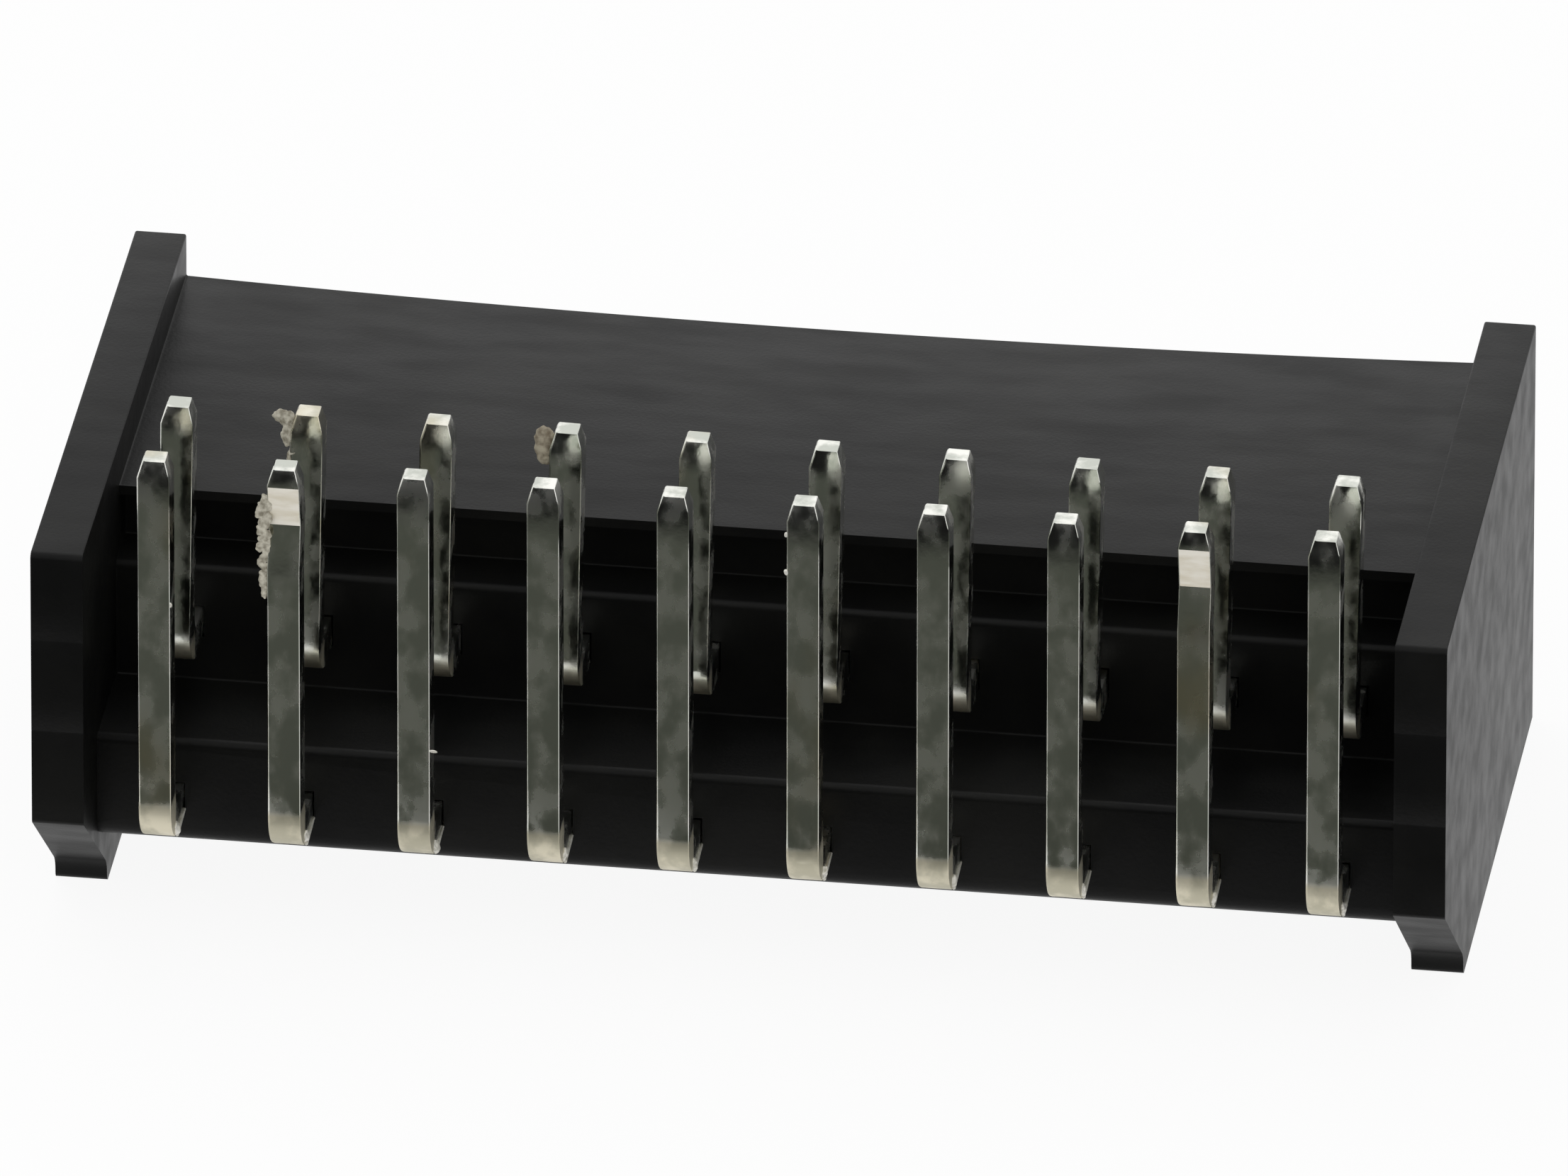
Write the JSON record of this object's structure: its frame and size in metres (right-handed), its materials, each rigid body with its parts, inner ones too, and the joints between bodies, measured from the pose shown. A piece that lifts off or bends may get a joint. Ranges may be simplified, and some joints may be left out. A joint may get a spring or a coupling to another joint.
{
  "type": "idc box header",
  "caption": "Right-angle shrouded box header for a circuit board: black moulding with side cheeks and two rows of bent square tin-plated contacts.",
  "frame": {"origin": "on the surface the header lies on, under the middle of the moulding", "axes": "+X along the rows of contacts, +Y towards the mouth of the shroud, +Z towards the circuit board, the way the solder tails point"},
  "size_m": [0.0276, 0.0136, 0.0109],
  "materials": {
    "housing_plastic": "satin moulded black",
    "contact_tin": "bright tin plating on copper alloy"
  },
  "bodies": {
    "root": {"housing": "housing_plastic", "outer_contact_1": "contact_tin", "outer_contact_2": "contact_tin", "outer_contact_3": "contact_tin", "outer_contact_4": "contact_tin", "outer_contact_5": "contact_tin", "outer_contact_6": "contact_tin", "outer_contact_7": "contact_tin", "outer_contact_8": "contact_tin", "outer_contact_9": "contact_tin", "outer_contact_10": "contact_tin", "inner_contact_1": "contact_tin", "inner_contact_2": "contact_tin", "inner_contact_3": "contact_tin", "inner_contact_4": "contact_tin", "inner_contact_5": "contact_tin", "inner_contact_6": "contact_tin", "inner_contact_7": "contact_tin", "inner_contact_8": "contact_tin", "inner_contact_9": "contact_tin", "inner_contact_10": "contact_tin"}
  },
  "joints": []
}
